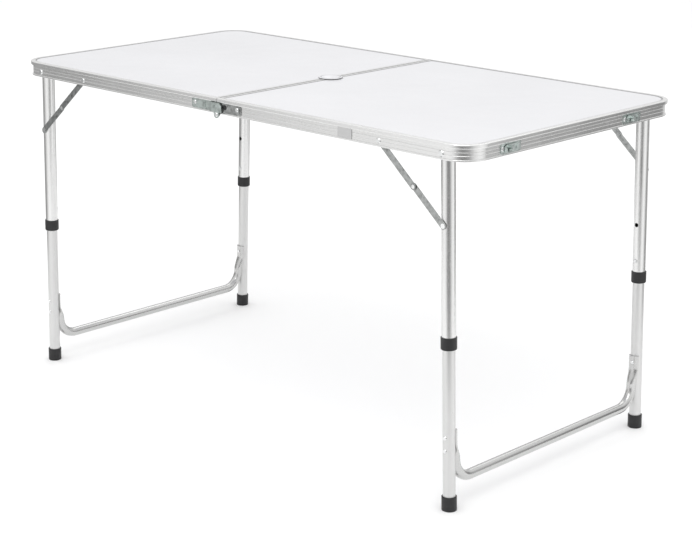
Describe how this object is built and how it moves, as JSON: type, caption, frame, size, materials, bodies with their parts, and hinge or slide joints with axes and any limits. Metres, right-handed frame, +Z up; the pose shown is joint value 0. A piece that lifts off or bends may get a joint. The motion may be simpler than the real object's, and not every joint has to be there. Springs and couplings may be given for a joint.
{
  "type": "folding table",
  "caption": "Rectangular camping table with a white folding top in aluminium rails and two folding, height-adjustable tube leg frames with braces and crossbars.",
  "frame": {"origin": "on the floor under the middle of the open top", "axes": "+X along the table's length towards the catches, +Y across it from front to back, +Z up"},
  "size_m": [1.212, 0.6058, 0.6523],
  "materials": {
    "board": "white melamine laminate, semi-gloss",
    "aluminium": "satin anodised, fine extrusion lines",
    "zinc": "zinc plated",
    "rivet": "bright rivet steel",
    "black_plastic": "moulded, fine grain",
    "plug": "moulded, pale",
    "badge": "blank plate"
  },
  "bodies": {
    "left_half": {"left_board": "board", "left_rail": "aluminium", "left_centre_trim": "aluminium", "front_hinge_plate_left": "zinc", "back_hinge_plate_left": "zinc", "hinge_pins": "rivet", "catch_keepers": "zinc", "handle_brackets": "zinc", "left_pivot_rivets": "rivet", "left_pivot_spacers": "zinc", "left_plate_rivets": "rivet"},
    "right_half": {"right_board": "board", "right_rail": "aluminium", "right_centre_trim": "aluminium", "front_hinge_plate_right": "zinc", "back_hinge_plate_right": "zinc", "blank_badge": "badge", "front_catch_base": "zinc", "back_catch_base": "zinc", "right_pivot_rivets": "rivet", "right_pivot_spacers": "zinc", "right_plate_rivets": "rivet"},
    "front_lock": {"front_lock_button": "black_plastic"},
    "back_lock": {"back_lock_button": "black_plastic"},
    "plug": {"umbrella_plug": "plug"},
    "handle": {"handle_grip": "black_plastic"},
    "front_catch": {"front_catch_lever": "zinc"},
    "back_catch": {"back_catch_lever": "zinc"},
    "left_leg_frame": {"left_front_upper_leg": "aluminium", "left_front_collar": "black_plastic", "left_back_upper_leg": "aluminium", "left_back_collar": "black_plastic", "left_brace_rivets": "rivet"},
    "left_lower_frame": {"left_front_lower_leg": "aluminium", "left_front_foot": "black_plastic", "left_back_lower_leg": "aluminium", "left_back_foot": "black_plastic", "left_crossbar": "aluminium", "left_crossbar_rivets": "rivet", "left_button_springs": "zinc"},
    "left_brace_uppers": {"left_brace_uppers": "zinc"},
    "left_brace_lowers": {"left_brace_lowers": "zinc"},
    "left_front_leg_button": {"left_front_button": "rivet"},
    "left_back_leg_button": {"left_back_button": "rivet"},
    "right_leg_frame": {"right_front_upper_leg": "aluminium", "right_front_collar": "black_plastic", "right_back_upper_leg": "aluminium", "right_back_collar": "black_plastic", "right_brace_rivets": "rivet"},
    "right_lower_frame": {"right_front_lower_leg": "aluminium", "right_front_foot": "black_plastic", "right_back_lower_leg": "aluminium", "right_back_foot": "black_plastic", "right_crossbar": "aluminium", "right_crossbar_rivets": "rivet", "right_button_springs": "zinc"},
    "right_brace_uppers": {"right_brace_uppers": "zinc"},
    "right_brace_lowers": {"right_brace_lowers": "zinc"},
    "right_front_leg_button": {"right_front_button": "rivet"},
    "right_back_leg_button": {"right_back_button": "rivet"}
  },
  "joints": [
    {"name": "table_fold", "type": "hinge", "parent": "left_half", "child": "right_half", "pos_m": [0, 0, 0.6195], "axis": [0, 1, 0], "range_deg": [0, 75]},
    {"name": "left_legs_fold", "type": "hinge", "parent": "left_half", "child": "left_leg_frame", "pos_m": [-0.54, 0, 0.631], "axis": [0, -1, 0], "range_deg": [0, 91.8]},
    {"name": "left_brace_upper_turn", "type": "hinge", "parent": "left_half", "child": "left_brace_uppers", "pos_m": [-0.401, 0, 0.631], "axis": [0, -1, 0], "range_deg": [-41.5, 0]},
    {"name": "left_brace_lower_turn", "type": "hinge", "parent": "left_leg_frame", "child": "left_brace_lowers", "pos_m": [-0.54386, 0, 0.50806], "axis": [0, -1, 0], "range_deg": [0, 48.5]},
    {"name": "left_height_slide", "type": "slide", "parent": "left_leg_frame", "child": "left_lower_frame", "axis": [0.0314, 0, 0.9995], "range_m": [0, 0.13]},
    {"name": "left_front_button_press", "type": "slide", "parent": "left_leg_frame", "child": "left_front_leg_button", "axis": [0, 1, 0], "range_m": [-0.0025, 0], "stiffness_N_per_m": 400, "springref_m": 0.001},
    {"name": "left_back_button_press", "type": "slide", "parent": "left_leg_frame", "child": "left_back_leg_button", "axis": [0, -1, 0], "range_m": [-0.0025, 0], "stiffness_N_per_m": 400, "springref_m": 0.001},
    {"name": "right_legs_fold", "type": "hinge", "parent": "right_half", "child": "right_leg_frame", "pos_m": [0.54, 0, 0.631], "axis": [0, 1, 0], "range_deg": [0, 91.8]},
    {"name": "right_brace_upper_turn", "type": "hinge", "parent": "right_half", "child": "right_brace_uppers", "pos_m": [0.401, 0, 0.631], "axis": [0, 1, 0], "range_deg": [-41.5, 0]},
    {"name": "right_brace_lower_turn", "type": "hinge", "parent": "right_leg_frame", "child": "right_brace_lowers", "pos_m": [0.54386, 0, 0.50806], "axis": [0, 1, 0], "range_deg": [0, 48.5]},
    {"name": "right_height_slide", "type": "slide", "parent": "right_leg_frame", "child": "right_lower_frame", "axis": [-0.0314, 0, 0.9995], "range_m": [0, 0.13]},
    {"name": "right_front_button_press", "type": "slide", "parent": "right_leg_frame", "child": "right_front_leg_button", "axis": [0, 1, 0], "range_m": [-0.0025, 0], "stiffness_N_per_m": 400, "springref_m": 0.001},
    {"name": "right_back_button_press", "type": "slide", "parent": "right_leg_frame", "child": "right_back_leg_button", "axis": [0, -1, 0], "range_m": [-0.0025, 0], "stiffness_N_per_m": 400, "springref_m": 0.001},
    {"name": "front_lock_press", "type": "slide", "parent": "right_half", "child": "front_lock", "axis": [0, -1, 0], "range_m": [-0.0008, 0], "stiffness_N_per_m": 600, "springref_m": 0.001},
    {"name": "front_catch_turn", "type": "hinge", "parent": "right_half", "child": "front_catch", "pos_m": [0.599, -0.172, 0.633], "axis": [1, 0, 0], "range_deg": [0, 95]},
    {"name": "back_lock_press", "type": "slide", "parent": "right_half", "child": "back_lock", "axis": [0, 1, 0], "range_m": [-0.0008, 0], "stiffness_N_per_m": 600, "springref_m": 0.001},
    {"name": "back_catch_turn", "type": "hinge", "parent": "right_half", "child": "back_catch", "pos_m": [0.599, 0.172, 0.633], "axis": [1, 0, 0], "range_deg": [0, 95]},
    {"name": "plug_lift", "type": "slide", "parent": "left_half", "child": "plug", "axis": [0, 0, 1], "range_m": [0, 0.03]},
    {"name": "handle_swing", "type": "hinge", "parent": "left_half", "child": "handle", "pos_m": [-0.6024, -0.014, 0.636], "axis": [0, 1, 0], "range_deg": [0, 120]}
  ],
  "couplings": [
    {"joint": "left_brace_upper_turn", "follows": "left_legs_fold", "ratio": -0.4435},
    {"joint": "left_brace_lower_turn", "follows": "left_legs_fold", "ratio": 0.51728},
    {"joint": "right_brace_upper_turn", "follows": "right_legs_fold", "ratio": -0.4435},
    {"joint": "right_brace_lower_turn", "follows": "right_legs_fold", "ratio": 0.51728}
  ]
}
